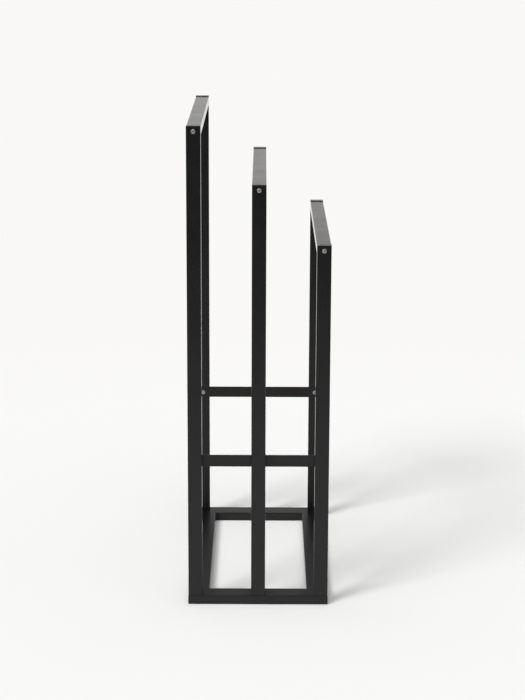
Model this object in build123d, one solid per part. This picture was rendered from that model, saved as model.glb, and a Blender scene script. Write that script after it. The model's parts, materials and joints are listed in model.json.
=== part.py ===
from build123d import *
import math
import os

# Firewood log rack: three upside-down U hoops of falling height on a flat welded base frame.
# Millimetres. Origin at the middle of the footprint on the floor, +Z up. X runs across the
# three hoops, from the tall one at -X to the short one at +X, and is the way the logs lie.
# Y runs along the span of each hoop; the front row of uprights is at -Y, the back row at +Y.

# Base frame of flat tube
base_width = 300.0
base_length = 600.0
rail_width = 45.0
rail_height = 20.0
rail_wall = 1.5

# Hoops: height of each above the floor, over its end caps
tall_height = 1030.0
middle_height = 910.0
short_height = 785.0
upright_width = 30.0
upright_depth = 20.0
upright_wall = 1.5
upright_setback = 0.5
top_bar_height = 20.0
top_bar_wall = 1.5

# Crossbars of flat bar, one threaded through each row of uprights
crossbar_level = 318.0
crossbar_height = 25.0
crossbar_thickness = 5.0
crossbar_edge_radius = 0.8
crossbar_end_gap = 0.5
window_clearance = 0.3

# Tube corners, and the deburred ends that leave a fine seam at each foot
corner_radius = 2.0
least_inner_radius = 0.2
tube_end_chamfer = 0.5

# End caps of moulded plastic
cap_flange = 1.2
cap_edge_chamfer = 0.6
cap_clearance = 0.2
cap_wall = 2.0
cap_sleeve_wall = 2.0

# Threaded steel plugs, welded inside the tube ends
plug_length = 15.0
plug_corner_relief = 0.4

# Hexagon socket screws with a low domed head
screw_diameter = 5.0
head_diameter = 9.5
head_height = 2.2
head_rim = 1.4
socket_width = 3.0
socket_depth = 1.6
screw_tip_gap = 2.0
screw_tip_proud = 1.5
screw_tip_chamfer = 0.6
hole_clearance = 0.3
thread_clearance = 0.05

# Access holes under the base frame and the plugs that close them
tool_room = 0.75
mitre_land = 1.0
hole_plug_clearance = 0.1
hole_plug_barb = 0.6
hole_plug_skirt = 2.5
hole_plug_wall = 1.2

# Places that follow from the sizes above
upright_x = base_width / 2 - upright_setback - upright_width / 2
upright_y = base_length / 2 - upright_setback - upright_depth / 2
inner_face_y = upright_y - upright_depth / 2
outer_face_y = upright_y + upright_depth / 2
crossbar_y = inner_face_y + upright_wall + crossbar_thickness / 2
screw_radius = screw_diameter / 2
clear_radius = screw_radius + hole_clearance
thread_radius = screw_radius + thread_clearance
access_radius = head_diameter / 2 + tool_room
foot_z = rail_height

# Each outer foot screw stands off its upright's middle, so that its access hole misses the mitre.
corner_to_screw_y = base_length / 2 - upright_y
corner_to_screw_x = corner_to_screw_y + math.sqrt(2) * (access_radius + mitre_land)
foot_screw_x = base_width / 2 - corner_to_screw_x

hoops = {
    "tall": {"x": -upright_x, "height": tall_height, "foot_x": -foot_screw_x},
    "middle": {"x": 0.0, "height": middle_height, "foot_x": 0.0},
    "short": {"x": upright_x, "height": short_height, "foot_x": foot_screw_x},
}
rows = {"front": -1, "back": 1}
crossbar_screw_places = (-upright_x, upright_x)


def inner_radius(wall):
    """Inside corner radius of a tube, limited by its wall."""
    return max(corner_radius - wall, least_inner_radius)


crossbar_end = base_width / 2 - upright_setback - upright_wall - inner_radius(upright_wall) - crossbar_end_gap


def tube_section(width, height, wall):
    """Rounded rectangular tube section, centred."""
    outer = RectangleRounded(width, height, corner_radius)
    return outer - RectangleRounded(width - 2 * wall, height - 2 * wall, inner_radius(wall))


def core_section(width, height, wall, clearance=0.0):
    """Section that fills a tube, its corners cut to clear the tube's inside corners."""
    gap = 2 * (wall + clearance)
    core = Rectangle(width - gap, height - gap)
    return chamfer(core.vertices(), inner_radius(wall) + plug_corner_relief)


def rod_y(radius, x, z, low, high):
    """Cylinder along Y, for bores."""
    return Pos(x, (low + high) / 2, z) * Rot(90, 0, 0) * Cylinder(radius, high - low)


def rod_z(radius, x, y, low, high):
    """Upright cylinder, for bores."""
    return Pos(x, y, (low + high) / 2) * Cylinder(radius, high - low)


def tube_top(hoop):
    """Top end of a hoop's upright tubes, level with its top bar."""
    return hoop["height"] - cap_flange


def top_bar_z(hoop):
    """Middle of a hoop's top bar, where its screws run."""
    return tube_top(hoop) - top_bar_height / 2


def base_rail(footprint, run):
    """Base tube along a run, cut to its mitred footprint."""
    blank = extrude(make_face(Polyline(*footprint, close=True)), rail_height)
    return run & blank


def end_rail(side):
    """Rail under one row of uprights, with its screw holes and access holes."""
    outer_y = side * base_length / 2
    inner_y = side * (base_length / 2 - rail_width)
    half = base_width / 2
    footprint = [
        (-half, outer_y),
        (half, outer_y),
        (half - rail_width, inner_y),
        (rail_width - half, inner_y),
    ]
    section = Plane.YZ * tube_section(rail_width, rail_height, rail_wall)
    run = Pos(0, (outer_y + inner_y) / 2, rail_height / 2) * extrude(section, half, both=True)
    rail = base_rail(footprint, run)
    middle = rail_height / 2
    for hoop in hoops.values():
        rail -= rod_z(access_radius, hoop["foot_x"], side * upright_y, -rail_wall, middle)
        rail -= rod_z(clear_radius, hoop["foot_x"], side * upright_y, middle, rail_height + rail_wall)
    return rail


def side_rail(side):
    """Rail that joins the two end rails, under an outer hoop."""
    outer_x = side * base_width / 2
    inner_x = side * (base_width / 2 - rail_width)
    half = base_length / 2
    footprint = [
        (outer_x, -half),
        (outer_x, half),
        (inner_x, half - rail_width),
        (inner_x, rail_width - half),
    ]
    section = Plane.XZ * tube_section(rail_width, rail_height, rail_wall)
    run = Pos((outer_x + inner_x) / 2, 0, rail_height / 2) * extrude(section, half, both=True)
    return base_rail(footprint, run)


def crossbar_window(x, way, side):
    """Cut through one side wall of an upright, for the crossbar to pass."""
    section = Plane.YZ * RectangleRounded(
        crossbar_thickness + 2 * window_clearance,
        crossbar_height + 2 * window_clearance,
        crossbar_edge_radius + window_clearance,
    )
    inside = upright_width / 2 - upright_wall - inner_radius(upright_wall)
    outside = upright_width / 2 + upright_wall
    low, high = sorted((x + way * inside, x + way * outside))
    return Pos(low, side * crossbar_y, crossbar_level) * extrude(section, high - low)


def upright(hoop, side):
    """Tube with its top screw hole, its crossbar windows and, in an outer hoop, the crossbar screw's hole."""
    x = hoop["x"]
    section = Pos(x, side * upright_y, foot_z) * tube_section(upright_width, upright_depth, upright_wall)
    tube = extrude(section, tube_top(hoop) - foot_z)
    foot = tube.faces().sort_by(Axis.Z)[0]
    tube = chamfer(foot.outer_wire().edges(), tube_end_chamfer)
    faces = sorted((side * (inner_face_y - upright_wall), side * (outer_face_y + upright_wall)))
    tube -= rod_y(clear_radius, x, top_bar_z(hoop), *faces)
    if x == 0:
        return tube - crossbar_window(x, -1, side) - crossbar_window(x, 1, side)
    tube -= crossbar_window(x, -math.copysign(1, x), side)
    wall = sorted((side * (inner_face_y - upright_wall), side * crossbar_y))
    return tube - rod_y(clear_radius, x, crossbar_level, *wall)


def top_bar(hoop):
    """Tube between the two uprights of a hoop."""
    section = Plane.XZ * tube_section(upright_width, top_bar_height, top_bar_wall)
    return Pos(hoop["x"], 0, top_bar_z(hoop)) * extrude(section, inner_face_y, both=True)


def top_bar_plug(hoop, side):
    """Threaded plug, flush with the end of a top bar."""
    section = Plane.XZ * core_section(upright_width, top_bar_height, top_bar_wall)
    middle_y = side * (inner_face_y - plug_length / 2)
    block = Pos(hoop["x"], middle_y, top_bar_z(hoop)) * extrude(section, plug_length / 2, both=True)
    ends = sorted((side * inner_face_y, side * (inner_face_y - plug_length)))
    return block - rod_y(thread_radius, hoop["x"], top_bar_z(hoop), *ends)


def foot_plug(hoop, side):
    """Threaded plug, flush with the foot of an upright."""
    section = core_section(upright_width, upright_depth, upright_wall)
    block = Pos(hoop["x"], side * upright_y, foot_z) * extrude(section, plug_length)
    return block - rod_z(thread_radius, hoop["foot_x"], side * upright_y, foot_z, foot_z + plug_length)


def crossbar(side):
    """Flat bar through a row of uprights, tapped near each end for its screw."""
    section = Plane.YZ * RectangleRounded(crossbar_thickness, crossbar_height, crossbar_edge_radius)
    bar = Pos(0, side * crossbar_y, crossbar_level) * extrude(section, crossbar_end, both=True)
    faces = sorted((side * inner_face_y, side * outer_face_y))
    for x in crossbar_screw_places:
        bar -= rod_y(thread_radius, x, crossbar_level, *faces)
    return bar


def end_cap(hoop, side):
    """Plastic insert with a hollow plug; its cross sleeve keeps the top screw from crushing the tube."""
    flange = extrude(RectangleRounded(upright_width, upright_depth, corner_radius), cap_flange)
    flange = chamfer(flange.faces().sort_by(Axis.Z)[-1].edges(), cap_edge_chamfer)
    plug_width = upright_width - 2 * (upright_wall + cap_clearance)
    plug_depth = upright_depth - 2 * (upright_wall + cap_clearance)
    plug = extrude(core_section(upright_width, upright_depth, upright_wall, cap_clearance), -top_bar_height)
    hollow = Pos(0, 0, -cap_wall) * Rectangle(plug_width - 2 * cap_wall, plug_depth - 2 * cap_wall)
    plug -= extrude(hollow, -top_bar_height)
    axis_z = -top_bar_height / 2
    bore_end = plug_depth / 2
    sleeve_end = bore_end - cap_wall
    plug += rod_y(clear_radius + cap_sleeve_wall, 0, axis_z, -sleeve_end, sleeve_end)
    plug -= rod_y(clear_radius, 0, axis_z, -bore_end, bore_end)
    return Pos(hoop["x"], side * upright_y, tube_top(hoop)) * (flange + plug)


def button_screw(length):
    """Screw along Z: domed head above the origin, shank below it."""
    head_radius = head_diameter / 2
    dome_rise = head_height - head_rim
    dome_radius = (head_radius**2 + dome_rise**2) / (2 * dome_rise)
    upwards = (Align.CENTER, Align.CENTER, Align.MIN)
    head = Cylinder(head_radius, head_height, align=upwards)
    head &= Pos(0, 0, head_height - dome_radius) * Sphere(dome_radius)
    socket = RegularPolygon(socket_width / 2, 6, major_radius=False)
    head -= Pos(0, 0, head_height) * extrude(socket, -socket_depth)
    shank = extrude(Circle(screw_radius), -length)
    shank = chamfer(shank.faces().sort_by(Axis.Z)[0].edges(), screw_tip_chamfer)
    return head + shank


def head_along_y(way):
    """Turns a screw so that its head points along +Y or -Y."""
    return Rot(-90 * way, 0, 0)


def top_screw(hoop, side):
    """Runs through an upright into the plug of its top bar."""
    screw = button_screw(upright_depth + plug_length - screw_tip_gap)
    return Pos(hoop["x"], side * outer_face_y, top_bar_z(hoop)) * head_along_y(side) * screw


def crossbar_screw(x, side):
    """Pulls the crossbar against an upright's inner wall, from inside the rack."""
    screw = button_screw(upright_wall + crossbar_thickness + screw_tip_proud)
    return Pos(x, side * inner_face_y, crossbar_level) * head_along_y(-side) * screw


def foot_screw(hoop, side):
    """Runs up through the base rail's top wall into the plug of an upright's foot."""
    screw = button_screw(rail_wall + plug_length - screw_tip_gap)
    return Pos(hoop["foot_x"], side * upright_y, rail_height - rail_wall) * Rot(180, 0, 0) * screw


def hole_plug(hoop, side):
    """Plastic plug that closes an access hole flush, held by a barb above the rail's bottom wall."""
    stem_radius = access_radius - hole_plug_clearance
    plug = extrude(Circle(stem_radius), rail_wall + hole_plug_skirt)
    barb = Pos(0, 0, rail_wall) * Cone(
        access_radius + hole_plug_barb,
        stem_radius,
        hole_plug_skirt,
        align=(Align.CENTER, Align.CENTER, Align.MIN),
    )
    plug += barb
    plug -= Pos(0, 0, rail_wall) * extrude(Circle(stem_radius - hole_plug_wall), hole_plug_skirt)
    return Pos(hoop["foot_x"], side * upright_y, 0) * plug


def group(screws):
    """Identical screws as one group of separate solids."""
    return Compound([solid for screw in screws for solid in screw.solids()])


nodes = {"base_rail_left": side_rail(-1), "base_rail_right": side_rail(1)}
foot_screws = []
for row, side in rows.items():
    nodes[f"base_rail_{row}"] = end_rail(side)
    nodes[f"crossbar_{row}"] = crossbar(side)
    nodes[f"crossbar_screws_{row}"] = group(crossbar_screw(x, side) for x in crossbar_screw_places)
    for name, hoop in hoops.items():
        nodes[f"{name}_upright_{row}"] = upright(hoop, side)
        nodes[f"{name}_cap_{row}"] = end_cap(hoop, side)
        nodes[f"{name}_top_bar_plug_{row}"] = top_bar_plug(hoop, side)
        nodes[f"{name}_foot_plug_{row}"] = foot_plug(hoop, side)
        nodes[f"{name}_access_plug_{row}"] = hole_plug(hoop, side)
        foot_screws.append(foot_screw(hoop, side))
nodes["foot_screws"] = group(foot_screws)
for name, hoop in hoops.items():
    nodes[f"{name}_top_bar"] = top_bar(hoop)
    nodes[f"{name}_top_screws"] = group(top_screw(hoop, side) for side in rows.values())

os.makedirs("parts", exist_ok=True)
for name, shape in nodes.items():
    shape.label = name
    export_step(shape, f"parts/{name}.step")
print(len(nodes), "nodes written")
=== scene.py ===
# %% [markdown]
# # A firewood log rack in satin black steel
#
# Three upside-down U hoops of falling height stand on a flat base frame, and logs lie across
# them. Every tube, screw and cap already has its true shape in the CAD model, so this lesson is
# about what Blender adds: the camera, the paper floor, the light, the weld beads in the base
# and, above all, a black finish that still shows its form. Run the cells in order; each one
# prints what it made.

# %% Load the CAD model
import json
import math

import bmesh
import bpy
from mathutils import Matrix, Vector


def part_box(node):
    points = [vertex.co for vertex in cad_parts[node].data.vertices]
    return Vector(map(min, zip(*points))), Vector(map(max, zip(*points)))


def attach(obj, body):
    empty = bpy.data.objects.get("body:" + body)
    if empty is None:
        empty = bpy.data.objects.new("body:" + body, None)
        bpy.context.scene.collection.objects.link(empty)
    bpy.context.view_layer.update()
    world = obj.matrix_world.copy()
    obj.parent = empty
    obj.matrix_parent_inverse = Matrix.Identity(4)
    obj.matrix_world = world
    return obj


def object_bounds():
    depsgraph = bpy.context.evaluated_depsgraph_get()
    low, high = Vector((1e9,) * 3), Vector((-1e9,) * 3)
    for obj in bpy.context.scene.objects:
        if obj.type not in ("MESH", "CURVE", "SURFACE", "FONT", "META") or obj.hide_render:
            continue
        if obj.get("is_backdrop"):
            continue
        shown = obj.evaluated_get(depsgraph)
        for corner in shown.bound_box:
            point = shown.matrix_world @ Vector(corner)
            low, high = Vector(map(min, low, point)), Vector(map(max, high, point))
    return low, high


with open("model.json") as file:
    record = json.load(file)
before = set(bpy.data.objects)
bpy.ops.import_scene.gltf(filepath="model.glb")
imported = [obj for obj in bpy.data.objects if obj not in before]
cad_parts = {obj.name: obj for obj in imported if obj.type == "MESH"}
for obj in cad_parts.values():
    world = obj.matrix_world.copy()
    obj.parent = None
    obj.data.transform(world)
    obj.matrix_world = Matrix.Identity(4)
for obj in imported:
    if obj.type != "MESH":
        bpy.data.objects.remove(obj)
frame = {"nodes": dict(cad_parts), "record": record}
cad_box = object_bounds()
scene = bpy.context.scene
print("CAD nodes:", len(frame["nodes"]))
print("CAD box, metres:", [tuple(round(v, 4) for v in corner) for corner in cad_box])

# %% [markdown]
# ## The camera
#
# The photograph looks along the hoops' span, from almost half a metre above the tallest one and
# from far away: the far uprights are only about 13 % smaller than the near ones. That gap in size
# gives the distance, and the slope of the top bars gives the height of the lens. A long lens at
# the right distance matters more than any material, because it sets every proportion.

# %% Place the camera
lens_mm = 96.1
camera_ahead = 3.782
camera_height = 1.4837
camera_aside = 0.0078
tilt_down = math.radians(13.67)
roll = math.radians(0.21)

camera_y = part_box("tall_upright_front")[0].y - camera_ahead
camera_data = bpy.data.cameras.new("photo_camera")
camera_data.lens = lens_mm
camera = bpy.data.objects.new("photo_camera", camera_data)
turn = Matrix.Rotation(math.pi / 2 - tilt_down, 4, "X") @ Matrix.Rotation(roll, 4, "Z")
camera.matrix_world = Matrix.Translation((camera_aside, camera_y, camera_height)) @ turn
scene.collection.objects.link(camera)
scene.camera = camera
scene.view_settings.view_transform = "Standard"
print("camera at", [round(v, 3) for v in camera.location], "with a lens of", lens_mm, "mm")

# %% [markdown]
# ## Helpers for node graphs
#
# A Blender material is a graph of nodes. Written out by hand each node takes four or five lines,
# so a few small helpers keep the later cells short. `add_node` adds a node and fills in its
# sockets: a socket given another node's output is linked to it, and a socket given a number
# keeps that number. Two sockets of a node may share a name, so `i0` means socket number 0.

# %% Node helpers
def add_node(graph, kind, outlet=0, settings=None, **sockets):
    """Adds a node, sets its options and sockets, and returns one of its outputs."""
    node = graph.nodes.new(kind)
    for option, value in (settings or {}).items():
        setattr(node, option, value)
    for name, value in sockets.items():
        key = int(name[1:]) if name[1:].isdigit() else name.replace("_", " ")
        if isinstance(value, bpy.types.NodeSocket):
            graph.links.new(value, node.inputs[key])
        else:
            node.inputs[key].default_value = value
    return node.outputs[outlet]


def new_graph(owner):
    """Empties the node graph of a material or a world and returns it."""
    owner.use_nodes = True
    owner.node_tree.nodes.clear()
    return owner.node_tree


def end_graph(graph, kind, shader):
    """Ends a graph with its output node."""
    graph.links.new(shader, graph.nodes.new(kind).inputs["Surface"])


print("graph helpers: add_node, new_graph, end_graph")

# %% [markdown]
# Four more helpers stand for the nodes that come up again and again: a sum on two numbers, a
# colour between two colours, a value eased from one range into another, and a vector split into
# its parts. Easing matters, because a hard change of brightness or roughness reads as a painted
# line.

# %% Number and colour helpers
def maths(graph, operation, first, second=0.0):
    """One sum on two numbers."""
    return add_node(graph, "ShaderNodeMath", settings={"operation": operation}, i0=first, i1=second)


def blend(graph, share, first, second):
    """The colour that lies that share of the way from the first to the second."""
    return add_node(graph, "ShaderNodeMix", 2, {"data_type": "RGBA"}, i0=share, i6=first, i7=second)


def ease(graph, value, start, end, low=0.0, high=1.0):
    """A smooth step from low to high as the value goes from start to end."""
    smooth = {"interpolation_type": "SMOOTHSTEP"}
    return add_node(
        graph, "ShaderNodeMapRange", 0, smooth,
        Value=value, From_Min=start, From_Max=end, To_Min=low, To_Max=high,
    )


def split(graph, vector):
    """The X, Y and Z of a vector."""
    node = graph.nodes.new("ShaderNodeSeparateXYZ")
    graph.links.new(vector, node.inputs["Vector"])
    return node.outputs


print("value helpers: maths, blend, ease, split")

# %% [markdown]
# ## The paper floor
#
# The rack stands on a roll of white paper. It only has to take the shadow and to glow back into
# the black paint from below: the bright lower half of each upright is nothing but this paper,
# mirrored. It ends a few metres out, so that the upper half mirrors the dark room instead.
#
# Far from the rack the paper melts into the plain colour of the backdrop. It does so only for
# rays that come from the camera, so no seam shows and the light it throws back stays the same.

# %% Make the floor
paper_white = (0.90, 0.898, 0.885, 1.0)
backdrop_white = (0.947, 0.939, 0.922, 1.0)
melt_start = 1.3
melt_end = 2.4
floor_radius = 2.6
floor_segments = 96

floor_mesh = bpy.data.meshes.new("paper_floor")
shape = bmesh.new()
bmesh.ops.create_circle(shape, cap_ends=True, segments=floor_segments, radius=floor_radius)
shape.to_mesh(floor_mesh)
shape.free()
floor = bpy.data.objects.new("paper_floor", floor_mesh)
scene.collection.objects.link(floor)
floor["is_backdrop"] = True

paper = bpy.data.materials.new("white_paper")
graph = new_graph(paper)
place = add_node(graph, "ShaderNodeTexCoord", "Object")
distance = add_node(graph, "ShaderNodeVectorMath", "Value", {"operation": "LENGTH"}, i0=place)
from_camera = add_node(graph, "ShaderNodeLightPath", "Is Camera Ray")
melted = maths(graph, "MULTIPLY", from_camera, ease(graph, distance, melt_start, melt_end))
lit = add_node(graph, "ShaderNodeBsdfDiffuse", Color=paper_white)
plain = add_node(graph, "ShaderNodeEmission", Color=backdrop_white)
paper_shader = add_node(graph, "ShaderNodeMixShader", i0=melted, i1=lit, i2=plain)
end_graph(graph, "ShaderNodeOutputMaterial", paper_shader)
floor_mesh.materials.append(paper)
print("floor: a disc of", 2 * floor_radius, "m, plain beyond", melt_end, "m")

# %% [markdown]
# ## What the paint mirrors
#
# Black paint has almost no colour of its own: what we see is the room, mirrored. Behind the rack
# stands a white backdrop, bright near the horizon and fading upwards; high up in front hangs the
# wide pale front of a softbox; and the rest of the room is dark. The world's Generated
# coordinates are the direction of each ray, so a few eased steps on that direction paint the room.
#
# Cycles would draw up one map of the world to aim its light rays with. This world looks different
# to each kind of ray, so no single map is right for it, and the map is switched off.

# %% Paint the mirrored room
dark_room = (0.07, 0.07, 0.07, 1.0)
backdrop_side = -0.1
backdrop_front = 0.4
fade_start = 0.06
fade_end = 0.46
backdrop_high = 0.08
glow_axis = (-0.196, -0.539, 0.819)
glow_rim = 0.5
glow_heart = 0.85
glow_level = 0.75


def along(graph, vector, axis):
    """The share of a vector that points along an axis."""
    product = {"operation": "DOT_PRODUCT"}
    return add_node(graph, "ShaderNodeVectorMath", "Value", product, i0=vector, i1=axis)


world = bpy.data.worlds.new("studio")
scene.world = world
world.cycles.sampling_method = "NONE"
graph = new_graph(world)
direction = add_node(graph, "ShaderNodeTexCoord", "Generated")
heading = split(graph, direction)
to_back = ease(graph, heading["Y"], backdrop_side, backdrop_front)
near_horizon = ease(graph, heading["Z"], fade_start, fade_end, 1.0, backdrop_high)
backdrop = maths(graph, "MULTIPLY", to_back, near_horizon)
glow = ease(graph, along(graph, direction, glow_axis), glow_rim, glow_heart, 0.0, glow_level)
mirrored = blend(graph, maths(graph, "MAXIMUM", backdrop, glow), dark_room, backdrop_white)
print("mirrored room: backdrop", backdrop_white[:3], "and dark side", dark_room[:3])

# %% [markdown]
# ## What lights the paper
#
# The soft light that falls on everything comes from above, leaning a little to the front left,
# as from a large white ceiling lit by the lamps. The Light Path node keeps the three worlds
# apart: the camera sees plain white, glossy rays see the mirrored room, and all other rays
# collect this fill.

# %% Light the room
fill_low = (0.06, 0.06, 0.06, 1.0)
fill_high = (2.66, 2.66, 2.66, 1.0)
fill_azimuth = math.radians(35)
fill_height = math.radians(82)
fill_focus = 6.0


def from_front_left(azimuth, height):
    """Unit vector to a lamp, turned that far to the left of the camera's side and that high."""
    level = math.cos(height)
    return Vector((-math.sin(azimuth) * level, -math.cos(azimuth) * level, math.sin(height)))


fill_axis = from_front_left(fill_azimuth, fill_height)
facing = maths(graph, "MAXIMUM", along(graph, direction, fill_axis), 0.0)
focus = maths(graph, "POWER", facing, fill_focus)
fill = blend(graph, focus, fill_low, fill_high)
ray = graph.nodes.new("ShaderNodeLightPath").outputs
shiny = maths(graph, "MAXIMUM", ray["Is Glossy Ray"], ray["Is Transmission Ray"])
unseen = blend(graph, shiny, fill, mirrored)
seen = blend(graph, ray["Is Camera Ray"], unseen, backdrop_white)
end_graph(graph, "ShaderNodeOutputWorld", add_node(graph, "ShaderNodeBackground", Color=seen))
print("fill light leans to", [round(v, 2) for v in fill_axis])

# %% [markdown]
# ## The key light
#
# The shadow in the photograph runs to the right and away from us, sharp at each foot and quickly
# lost: one large softbox, high up in front on the left. A sun lamp with a wide angle gives the
# same shadow and lights the paper evenly from edge to edge, as a far and large lamp would.

# %% Add the softbox
key_azimuth = math.radians(45)
key_height = math.radians(44)
key_spread = math.radians(20)
key_strength = 1.6

key_data = bpy.data.lights.new("softbox", "SUN")
key_data.angle = key_spread
key_data.energy = key_strength
key = bpy.data.objects.new("softbox", key_data)
key_axis = from_front_left(key_azimuth, key_height)
key.rotation_euler = key_axis.to_track_quat("Z", "Y").to_euler()
scene.collection.objects.link(key)
print("softbox at", [round(v, 2) for v in key_axis])

# %% [markdown]
# ## Helpers for surfaces
#
# All finishes here are made of noise at a few sizes. Object coordinates are metres in the part's
# own frame, so a noise of size 0.0024 has lumps of about 2.4 mm wherever it is used. Depths of
# bumps are in metres too. Every flat face of the rack is square to an axis, so a normal that
# leans away from all three axes lies on a rounded edge: that gives a wear mask for nothing.

# %% Surface helpers
bump_strength = 0.5
flat_lean = 0.98
edge_lean = 0.80
cloud_dark = 0.3
cloud_light = 0.7
fine_detail = 1.0
plain_detail = 2.0
cloud_detail = 3.0


def noise(graph, size, detail=plain_detail):
    """Cloudy noise with lumps of about that size, in metres."""
    place = add_node(graph, "ShaderNodeTexCoord", "Object")
    return add_node(graph, "ShaderNodeTexNoise", Vector=place, Scale=1 / size, Detail=detail)


def wander(graph, cloud, low, high):
    """A value that wanders between low and high with the clouds of a noise."""
    return ease(graph, cloud, cloud_dark, cloud_light, low, high)


def bump(graph, height, depth, **under):
    """A bump of that depth, in metres, on the plain surface or on another bump."""
    return add_node(
        graph, "ShaderNodeBump", Height=height, Strength=bump_strength, Distance=depth, **under
    )


def edge_mask(graph):
    """0 on flat faces and 1 on the rounded edges between them."""
    normal = add_node(graph, "ShaderNodeNewGeometry", "Normal")
    positive = {"operation": "ABSOLUTE"}
    lean = split(graph, add_node(graph, "ShaderNodeVectorMath", 0, positive, i0=normal))
    largest = maths(graph, "MAXIMUM", maths(graph, "MAXIMUM", lean["X"], lean["Y"]), lean["Z"])
    return ease(graph, largest, flat_lean, edge_lean)


print("surface helpers: noise, wander, bump, edge_mask")

# %% [markdown]
# ## Satin black powder coat
#
# Powder coat is baked plastic on steel: black underneath, with a satin skin that has a soft
# orange-peel ripple a few millimetres across and a much finer grain. Head on it is nearly black;
# at a glancing angle the skin mirrors the backdrop and turns grey, which is why the top bars look
# pale in the photograph. The Principled shader does that by itself once roughness is right.
# Patches along the edges are rubbed a little greyer, as they are after a season of logs.
#
# Any satin skin seems smoother the flatter we look along it, because only the tops of its grain
# are left in sight. Layer Weight's Facing goes from 0 head on to 1 edge on, and two eased steps
# on it lower the roughness: some for the top bars, and far more for the sides of the uprights,
# which we see so nearly edge on that they shine as thin pale lines.

# %% Smoother when seen flat
facing_blend = 0.5
flat_view = (0.62, 0.80)
flat_view_share = 0.63
edge_view = (0.90, 0.97)
edge_view_share = 0.35


def smoothed(graph, satin):
    """Roughness that falls as the surface turns edge on to whoever looks at it."""
    glancing = add_node(graph, "ShaderNodeLayerWeight", "Facing", Blend=facing_blend)
    flatter = ease(graph, glancing, *flat_view, 1.0, flat_view_share)
    edge_on = ease(graph, glancing, *edge_view, 1.0, edge_view_share)
    return maths(graph, "MULTIPLY", maths(graph, "MULTIPLY", satin, flatter), edge_on)


print("edge on, roughness falls to", round(flat_view_share * edge_view_share, 2), "of its value")

# %% [markdown]
# The coat itself is then a short graph. Two blacks drift into each other over some centimetres,
# rubbed patches lie over them, and the ripple and the grain are two bumps, one on the other. Bumps
# are enough here, because the ripple is only a tenth of a millimetre deep.

# %% Powder coat
coat_black = (0.004, 0.004, 0.0045, 1.0)
coat_grey = (0.007, 0.007, 0.0075, 1.0)
coat_rubbed = (0.014, 0.014, 0.0145, 1.0)
coat_gloss = 0.38
coat_satin = (0.34, 0.38)
coat_cloud = 0.07
rub_patch = 0.017
rub_limits = (0.45, 0.65)
peel_size = 0.0024
peel_depth = 0.00011
grain_size = 0.0005
grain_depth = 0.00002


def powder_coat():
    """Satin black with orange peel, grain and rubbed edges."""
    material = bpy.data.materials.new("satin_powder_coat")
    graph = new_graph(material)
    cloud = noise(graph, coat_cloud, cloud_detail)
    patches = ease(graph, noise(graph, rub_patch), *rub_limits)
    rubbed = maths(graph, "MULTIPLY", edge_mask(graph), patches)
    colour = blend(graph, rubbed, blend(graph, cloud, coat_black, coat_grey), coat_rubbed)
    peel = bump(graph, noise(graph, peel_size), peel_depth)
    skin = bump(graph, noise(graph, grain_size), grain_depth, Normal=peel)
    shader = add_node(
        graph, "ShaderNodeBsdfPrincipled", Base_Color=colour, Normal=skin,
        Roughness=smoothed(graph, wander(graph, cloud, *coat_satin)), Specular_IOR_Level=coat_gloss,
    )
    end_graph(graph, "ShaderNodeOutputMaterial", shader)
    return material


coat = powder_coat()
print("made", coat.name, "with", len(coat.node_tree.nodes), "nodes")

# %% [markdown]
# ## Moulded caps
#
# The caps on the tube ends and the plugs under the base are moulded plastic, dyed to match the
# paint. The mould was spark-eroded, so the skin is a fine even grain with no orange peel, and a
# corner that has been knocked shines a little.

# %% Cap plastic
cap_black = (0.005, 0.005, 0.005, 1.0)
cap_grey = (0.009, 0.009, 0.009, 1.0)
cap_rubbed = (0.018, 0.018, 0.018, 1.0)
cap_gloss = 0.42
cap_satin = (0.24, 0.30)
cap_cloud = 0.012
spark_size = 0.0003
spark_depth = 0.000008


def cap_plastic():
    """Dyed plastic with the fine grain of a spark-eroded mould."""
    material = bpy.data.materials.new("moulded_plastic")
    graph = new_graph(material)
    cloud = noise(graph, cap_cloud, cloud_detail)
    colour = blend(graph, edge_mask(graph), blend(graph, cloud, cap_black, cap_grey), cap_rubbed)
    spark = bump(graph, noise(graph, spark_size, fine_detail), spark_depth)
    shader = add_node(
        graph, "ShaderNodeBsdfPrincipled", Base_Color=colour, Normal=spark,
        Roughness=wander(graph, cloud, *cap_satin), Specular_IOR_Level=cap_gloss,
    )
    end_graph(graph, "ShaderNodeOutputMaterial", shader)
    return material


plastic = cap_plastic()
print("made", plastic.name, "with", len(plastic.node_tree.nodes), "nodes")

# %% [markdown]
# ## Bright screws
#
# The button-head screws are zinc-plated steel, the only bright things on the rack. Plating is
# pale and slightly cloudy, and its forged head keeps a fine texture. The hexagon socket is a deep
# little hole, painted darker: painted shade, with some oil and dust in it. The Ambient Occlusion
# node finds it without any coordinates: it says how closed in a point is, so the socket, and the
# foot of the head where it meets the tube, are painted dark by themselves.

# %% Bright zinc
zinc_pale = (0.46, 0.46, 0.45, 1.0)
zinc_cloudy = (0.37, 0.38, 0.39, 1.0)
# painted shade, with some oil and dust: the colour of the socket and the head's foot
oil_and_painted_shade = (0.08, 0.078, 0.074, 1.0)
socket_reach = 0.0025
painted_shade_limits = (0.6, 0.2)
socket_samples = 8
zinc_satin = (0.46, 0.52)
zinc_cloud = 0.003
forge_size = 0.0005
forge_depth = 0.00001


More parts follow.
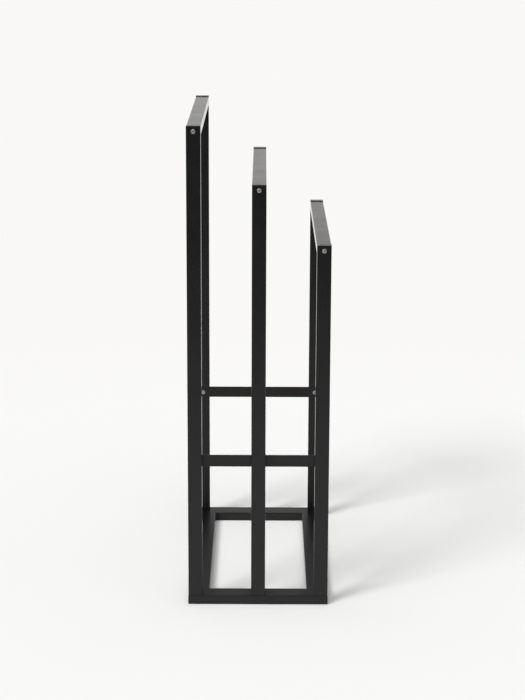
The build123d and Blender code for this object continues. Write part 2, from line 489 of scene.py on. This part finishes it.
def bright_zinc():
    """Zinc plating with painted shade, and some oil, in the socket and at the head's foot."""
    material = bpy.data.materials.new("bright_zinc")
    graph = new_graph(material)
    cloud = noise(graph, zinc_cloud, cloud_detail)
    sampled = {"samples": socket_samples}
    openness = add_node(graph, "ShaderNodeAmbientOcclusion", "AO", sampled, Distance=socket_reach)
    plating = blend(graph, cloud, zinc_pale, zinc_cloudy)
    # painted shade: darker where the occlusion node finds the surface closed in, partly oil and
    # dust
    colour = blend(graph, ease(graph, openness, *painted_shade_limits), plating, oil_and_painted_shade)
    forged = bump(graph, noise(graph, forge_size, fine_detail), forge_depth)
    shader = add_node(
        graph, "ShaderNodeBsdfPrincipled", Base_Color=colour, Metallic=1.0, Normal=forged,
        Roughness=wander(graph, cloud, *zinc_satin),
    )
    end_graph(graph, "ShaderNodeOutputMaterial", shader)
    return material


zinc = bright_zinc()
print("made", zinc.name, "with", len(zinc.node_tree.nodes), "nodes")

# %% [markdown]
# ## Bare steel inside the tubes
#
# The threaded plugs in the tube ends are sawn from bar and never painted. They show only when the
# rack is taken apart: dull grey steel with the saw's fine marks across it and a touch of brown
# where it has begun to rust. Stretching the noise along one axis turns lumps into marks.

# %% Plug steel
steel_grey = (0.42, 0.41, 0.40, 1.0)
steel_brown = (0.20, 0.13, 0.09, 1.0)
steel_satin = (0.42, 0.58)
rust_patch = 0.006
rust_limits = (0.55, 0.75)
rust_detail = 4.0
saw_stretch = (60.0, 60.0, 2400.0)
saw_depth = 0.00003


def sawn_steel():
    """Bare sawn steel with a bloom of rust."""
    material = bpy.data.materials.new("sawn_steel")
    graph = new_graph(material)
    bloom = ease(graph, noise(graph, rust_patch, rust_detail), *rust_limits)
    place = add_node(graph, "ShaderNodeTexCoord", "Object")
    stretch = {"operation": "MULTIPLY"}
    stretched = add_node(graph, "ShaderNodeVectorMath", 0, stretch, i0=place, i1=saw_stretch)
    marks = add_node(graph, "ShaderNodeTexNoise", Vector=stretched, Scale=1.0)
    shader = add_node(
        graph, "ShaderNodeBsdfPrincipled", Base_Color=blend(graph, bloom, steel_grey, steel_brown),
        Metallic=1.0, Normal=bump(graph, marks, saw_depth),
        Roughness=wander(graph, marks, *steel_satin),
    )
    end_graph(graph, "ShaderNodeOutputMaterial", shader)
    return material


steel = sawn_steel()
print("made", steel.name, "with", len(steel.node_tree.nodes), "nodes")

# %% [markdown]
# ## Dress the CAD nodes
#
# The record of the part gives every node a material slot, such as powder_coat. One finish per
# slot, put on by name, keeps the dressing in step with the CAD model if nodes are added later.

# %% Put the finishes on
finishes = {"powder_coat": coat, "cap_plastic": plastic, "bright_screw": zinc, "plug_steel": steel}
for subpart in frame["record"]["subparts"]:
    mesh = frame["nodes"][subpart["node"]].data
    mesh.materials.clear()
    mesh.materials.append(finishes[subpart["material_slot"]])

# %% [markdown]
# ## Weld beads
#
# The four rails of the base are mitred and welded. Outside and on top the seams are ground flush
# before painting, but nobody grinds the inside corners, so a small rippled bead runs up each one.
# A curve with a round profile would be quicker, but it would sink into both walls and show no
# ripples. So each bead is made from rings of points, and its corner is read from the rails' boxes.

# %% Size the weld beads
bead_reach = 0.0034
bead_hollow = 0.22
bead_tip = 0.2
bead_bluntness = 8
bead_sag = 0.0006
bead_sink = 0.0002
ripple_pitch = 0.0016
ripple_share = 0.12
bead_rings = 97
bead_points = 8
corner_radius = 0.002

rail_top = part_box("base_rail_left")[1].z
inside_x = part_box("base_rail_right")[0].x
inside_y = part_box("base_rail_back")[0].y
bead_low = corner_radius
bead_high = rail_top - corner_radius
print("beads run from", bead_low, "to", round(bead_high, 4), "m above the floor")

# %% [markdown]
# A bead is a fillet whose reach swells and shrinks as the puddle freezes, ring by ring, each ring
# sagging in the middle, with a blunt end where the torch was lifted. A formula gives each ring its
# reach from its height, so the ripples need no list of points.

# %% Shape one ring
def bead_ring(shape, side_x, side_y, share):
    """One ring of a bead: a point sunk in the corner, then an arc from wall to wall."""
    height = bead_low + share * (bead_high - bead_low)
    taper = max(bead_tip, math.sqrt(1 - abs(2 * share - 1) ** bead_bluntness))
    swell = 1 + ripple_share * abs(math.sin(math.pi * height / ripple_pitch))
    root = Vector((side_x * (inside_x + bead_sink), side_y * (inside_y + bead_sink), height))
    ring = [shape.verts.new(root)]
    for step in range(bead_points):
        angle = math.pi / 2 * step / (bead_points - 1)
        belly = math.sin(2 * angle)
        reach = bead_reach * taper * swell * (1 - bead_hollow * belly)
        along_x = -side_x * reach * math.cos(angle)
        along_y = -side_y * reach * math.sin(angle)
        ring.append(shape.verts.new(root + Vector((along_x, along_y, -bead_sag * belly))))
    return ring


print("a ring has", bead_points + 1, "points, and a bead has", bead_rings, "rings")

# %% Weld the corners
def weld_bead(name, side_x, side_y):
    """A rippled bead up one inside corner of the base."""
    shape = bmesh.new()
    rings = [bead_ring(shape, side_x, side_y, k / (bead_rings - 1)) for k in range(bead_rings)]
    for lower, upper in zip(rings, rings[1:]):
        for k, point in enumerate(lower):
            following = (k + 1) % len(lower)
            shape.faces.new((point, lower[following], upper[following], upper[k]))
    shape.faces.new(rings[0])
    shape.faces.new(rings[-1])
    bmesh.ops.recalc_face_normals(shape, faces=shape.faces)
    mesh = bpy.data.meshes.new(name)
    shape.to_mesh(mesh)
    shape.free()
    mesh.shade_smooth()
    mesh.materials.append(coat)
    bead = bpy.data.objects.new(name, mesh)
    scene.collection.objects.link(bead)
    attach(bead, "root")
    return bead


beads = [
    weld_bead(f"weld_bead_{row}_{side}", side_x, side_y)
    for row, side_y in (("front", -1), ("back", 1))
    for side, side_x in (("left", -1), ("right", 1))
]
print("welded", len(beads), "corners,", len(beads[0].data.polygons), "faces each")

# %% [markdown]
# ## Finish
#
# The dressed rack has to fill the same box as the CAD model.

# %% Check the size and finish
new_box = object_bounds()
growth = [
    max(abs(new_box[0][k] - cad_box[0][k]), abs(new_box[1][k] - cad_box[1][k]))
    for k in range(3)
]
print("visual box differs from the CAD box by, metres:", [round(v, 6) for v in growth])
